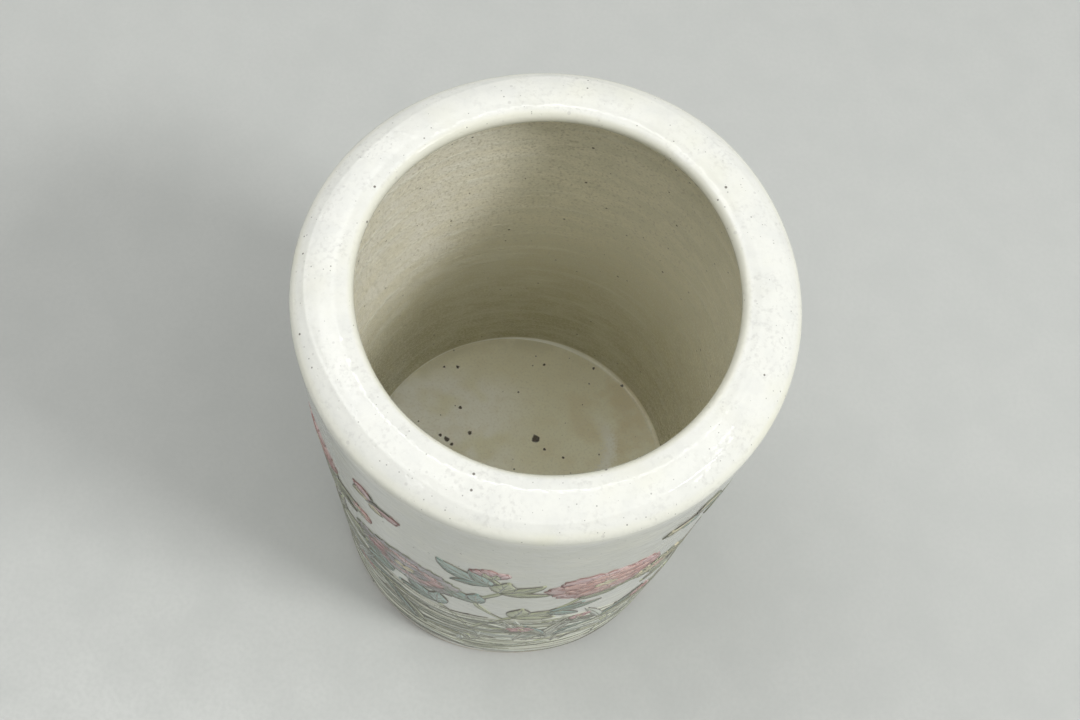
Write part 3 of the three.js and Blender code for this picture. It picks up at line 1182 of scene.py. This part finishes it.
# A light and a deep colour, how much deeper the root is, and how far the edges fade.
ENAMELS = {
    "bank_yellow": ((0.82, 0.83, 0.69), (0.61, 0.63, 0.47), 0.0, 0.7),
    "bank_turquoise": ((0.63, 0.67, 0.58), (0.34, 0.39, 0.33), 0.0, 0.7),
    "bank_olive": ((0.63, 0.64, 0.51), (0.34, 0.35, 0.24), 0.0, 0.7),
    "leaf_olive": ((0.53, 0.56, 0.37), (0.36, 0.38, 0.24), 0.2, 0.0),
    "leaf_turquoise": ((0.35, 0.46, 0.41), (0.21, 0.31, 0.28), 0.2, 0.0),
    "coral": ((0.70, 0.50, 0.43), (0.48, 0.23, 0.19), 0.6, 0.0),
    "rose": ((0.64, 0.49, 0.47), (0.43, 0.24, 0.26), 0.6, 0.0),
    "aubergine": ((0.46, 0.43, 0.44), (0.26, 0.22, 0.25), 0.5, 0.0),
    "straw": ((0.72, 0.67, 0.48), (0.56, 0.46, 0.27), 0.4, 0.0),
    "shade": ((0.31, 0.32, 0.25), (0.16, 0.17, 0.13), 0.0, 0.0),
    "madder": ((0.46, 0.28, 0.26), (0.31, 0.18, 0.17), 0.0, 0.0),
    "ink": ((0.25, 0.24, 0.20), (0.13, 0.12, 0.10), 0.0, 0.0),
}


def enamel(name, light, deep, rooted, faded):
    """The finish of one enamel."""
    finish = Finish("enamel_" + name)
    sheet = finish.node("ShaderNodeUVMap", {"uv_map": "UVMap"}, {})
    tone = finish.node("ShaderNodeAttribute", {"attribute_name": "tone"}, {}, "Fac")
    sideways = finish.node("ShaderNodeSeparateXYZ", {}, {"Vector": sheet})
    forward = sideways.other("Y")
    side = (sideways * 2 - 1).magnitude()
    hairs = finish.node("ShaderNodeMapping", {}, {"Vector": sheet, "Scale": (7, 1.2, 1)})
    streaks = finish.cloud(1.0, 3, hairs)
    patches = finish.cloud(2.2 * MM, 2)
    depth = streaks * 0.45 + patches * 0.35 + tone * 0.45 - side * 0.2
    depth = depth + (0.45 - forward) * rooted
    colour = finish.mix(depth.ramp(0.15, 0.95), light, deep)
    if faded:
        ends = (forward * 2 - 1).magnitude().ramp(0.6, 1.0)
        thin = (side + (streaks - 0.5) * 1.5).ramp(0.25, 1.0).largest(ends)
        # The washes fade into the body's white, which carries the body's painted shade.
        colour = finish.mix(thin * faded, colour, SHADED_BODY_WHITE)
    return finish.dress(Base_Color=colour, Roughness=patches * 0.12 + 0.10, IOR=ENAMEL_IOR)


for name, wash in washes.items():
    piece = make_piece("enamel_" + name, wash.mesh, [enamel(name, *ENAMELS[name])], "white_glaze")
    body = piece.modifiers.new("thickness", "SOLIDIFY")
    body.thickness, body.offset = ENAMEL_THICKNESS * MM, -1
print("painted")

# %% [markdown]
# The pot stands on a plain pale table, which is painted a little paler towards the viewer: painted
# light, for the stronger light on the front of the table. Far from the pot it fades into the colour
# of the backdrop, like a studio's paper sweep. Only the camera and the mirror reflections see that
# fading, so it doesn't light the pot.

# %% Table
TABLE = (0.51, 0.522, 0.50)
TABLE_NEAR_LIT = (0.625, 0.638, 0.613)
TABLE_BLOTCH = (0.47, 0.485, 0.465)
BACKDROP = (0.60, 0.61, 0.59)
TABLE_HALF = 3
SWEEP_START, SWEEP_END = 300, 1000

table_mesh = bmesh.new()
bmesh.ops.create_grid(table_mesh, x_segments=1, y_segments=1, size=TABLE_HALF)
table_data = bpy.data.meshes.new("table")
table_mesh.to_mesh(table_data)
table_mesh.free()
table = bpy.data.objects.new("table", table_data)
scene.collection.objects.link(table)
paper = Finish("table_paper")
blotch = paper.cloud(14 * MM, 4).ramp(0.3, 0.75)
fibre = paper.cloud(1.3 * MM, 2).ramp(0.3, 0.75)
across, along, above, away = paper.axes()
# Painted light: the table is paler towards the viewer.
paper_colour = paper.mix(along.ramp(-10 * MM, -150 * MM), TABLE, TABLE_NEAR_LIT)
paper_colour = paper.mix(blotch * 0.5, paper_colour, TABLE_BLOTCH)
paper_colour = paper.mix(fibre * 0.4, paper_colour, TABLE_BLOTCH)
table_data.materials.append(paper.dress(Base_Color=paper_colour, Roughness=0.7))
shown = paper.node("ShaderNodeLightPath", {}, {}, "Is Camera Ray")
shown = shown.largest(shown.other("Is Glossy Ray")).largest(shown.other("Is Transmission Ray"))
fading = away.ramp(SWEEP_START * MM, SWEEP_END * MM) * shown
haze = paper.node("ShaderNodeEmission", {}, {"Color": BACKDROP})
surface = Value(paper, paper.shader.outputs[0])
sweep = paper.node("ShaderNodeMixShader", {}, {0: fading, 1: surface, 2: haze})
paper.feed(paper.tree.nodes["Material Output"].inputs["Surface"], sweep)
print("table set")

# %% [markdown]
# The glaze is a mirror, so the lamps are placed by where they show in it. A broad panel overhead
# whitens the lip, narrow lamps beside it draw the bright edges, and softboxes behind and to the left
# fill the glaze of the body. A lamp from the right casts the soft shadow in the well. It and a small
# one for the floor of the well are hidden from reflections, and a weak lamp just in front of the
# first gives its dim reflection.

# %% Lamps
LAMP_HEIGHT = 1140 * MM
LAMP_AWAY, GLOW_AWAY = 1.6, 1.59
POT_MIDDLE = Vector((0, 0, 0.1))


def lamp(name, place, facing, width, length, power, turn=0.0):
    """A rectangular lamp that faces a point."""
    made = bpy.data.objects.new(name, bpy.data.lights.new(name, "AREA"))
    made.data.shape, made.data.size, made.data.size_y = "RECTANGLE", width, length
    made.data.energy = power
    made.location = place
    made.rotation_mode = "QUATERNION"
    facing = (Vector(facing) - Vector(place)).to_track_quat("-Z", "Y")
    made.rotation_quaternion = facing @ Matrix.Rotation(turn, 3, "Z").to_quaternion()
    scene.collection.objects.link(made)
    return made


def overhead(name, x, y, width, length, power, degrees=0.0):
    """A lamp that faces straight down."""
    return lamp(name, (x, y, LAMP_HEIGHT), (x, y, 0), width, length, power, math.radians(degrees))


def beside(name, compass, rise, size, power, distance=LAMP_AWAY):
    """A lamp in a direction from the pot: degrees round from +X, and up."""
    compass, rise = math.radians(compass), math.radians(rise)
    level = math.cos(rise)
    way = Vector((math.cos(compass) * level, math.sin(compass) * level, math.sin(rise)))
    return lamp(name, POT_MIDDLE + distance * way, POT_MIDDLE, size, size, power)


overhead("panel", 0.08, -0.28, 1.05, 1.15, 2.75, 10.5)
overhead("panel_middle", 0.36, -0.12, 0.5, 0.5, 0.45)
overhead("far_edge", 0.10, 0.32, 0.6, 0.045, 0.4)
overhead("far_left", -0.30, 0.10, 0.09, 0.24, 0.12, -35)
overhead("far_right", 0.56, 0.11, 0.34, 0.12, 0.5, -12)
overhead("left_edge", -0.55, -0.52, 0.035, 0.85, 0.36, -2)
overhead("right_edge", 0.70, -0.50, 1.02, 0.05, 1.2, 39.5)
overhead("floor_light", 0.38, -0.15, 0.25, 0.35, 0.9).visible_glossy = False
beside("side_lamp", -15, 46, 0.35, 11.5).visible_glossy = False
beside("side_glow", -15, 46, 0.35, 1.6, GLOW_AWAY)
beside("back_softbox", 145, 50, 1.2, 6.0)
beside("left_softbox", 180, 68, 0.9, 2.7)
print(len(bpy.data.lights), "lamps lit")

# %% [markdown]
# The room fills the shadows with an even light. The camera and the reflections see the backdrop's
# colour in its place, so that the table fades into it without an edge.

# %% Room
ROOM_LIGHT = 0.255
ROOM_COLOUR = (1, 1, 0.99)

scene.world = bpy.data.worlds.new("room")
scene.world.use_nodes = True
room = scene.world.node_tree
light = room.nodes["Background"]
light.inputs["Color"].default_value = (*ROOM_COLOUR, 1)
light.inputs["Strength"].default_value = ROOM_LIGHT
seen = room.nodes.new("ShaderNodeBackground")
seen.inputs["Color"].default_value = (*BACKDROP, 1)
path = room.nodes.new("ShaderNodeLightPath")
shown = path.outputs["Is Camera Ray"]
for ray in ("Is Glossy Ray", "Is Transmission Ray"):
    either = room.nodes.new("ShaderNodeMath")
    either.operation = "MAXIMUM"
    room.links.new(shown, either.inputs[0])
    room.links.new(path.outputs[ray], either.inputs[1])
    shown = either.outputs[0]
swap = room.nodes.new("ShaderNodeMixShader")
room.links.new(shown, swap.inputs[0])
room.links.new(light.outputs[0], swap.inputs[1])
room.links.new(seen.outputs[0], swap.inputs[2])
room.links.new(swap.outputs[0], room.nodes["World Output"].inputs["Surface"])
scene.view_settings.view_transform = "Standard"
print("room lit")
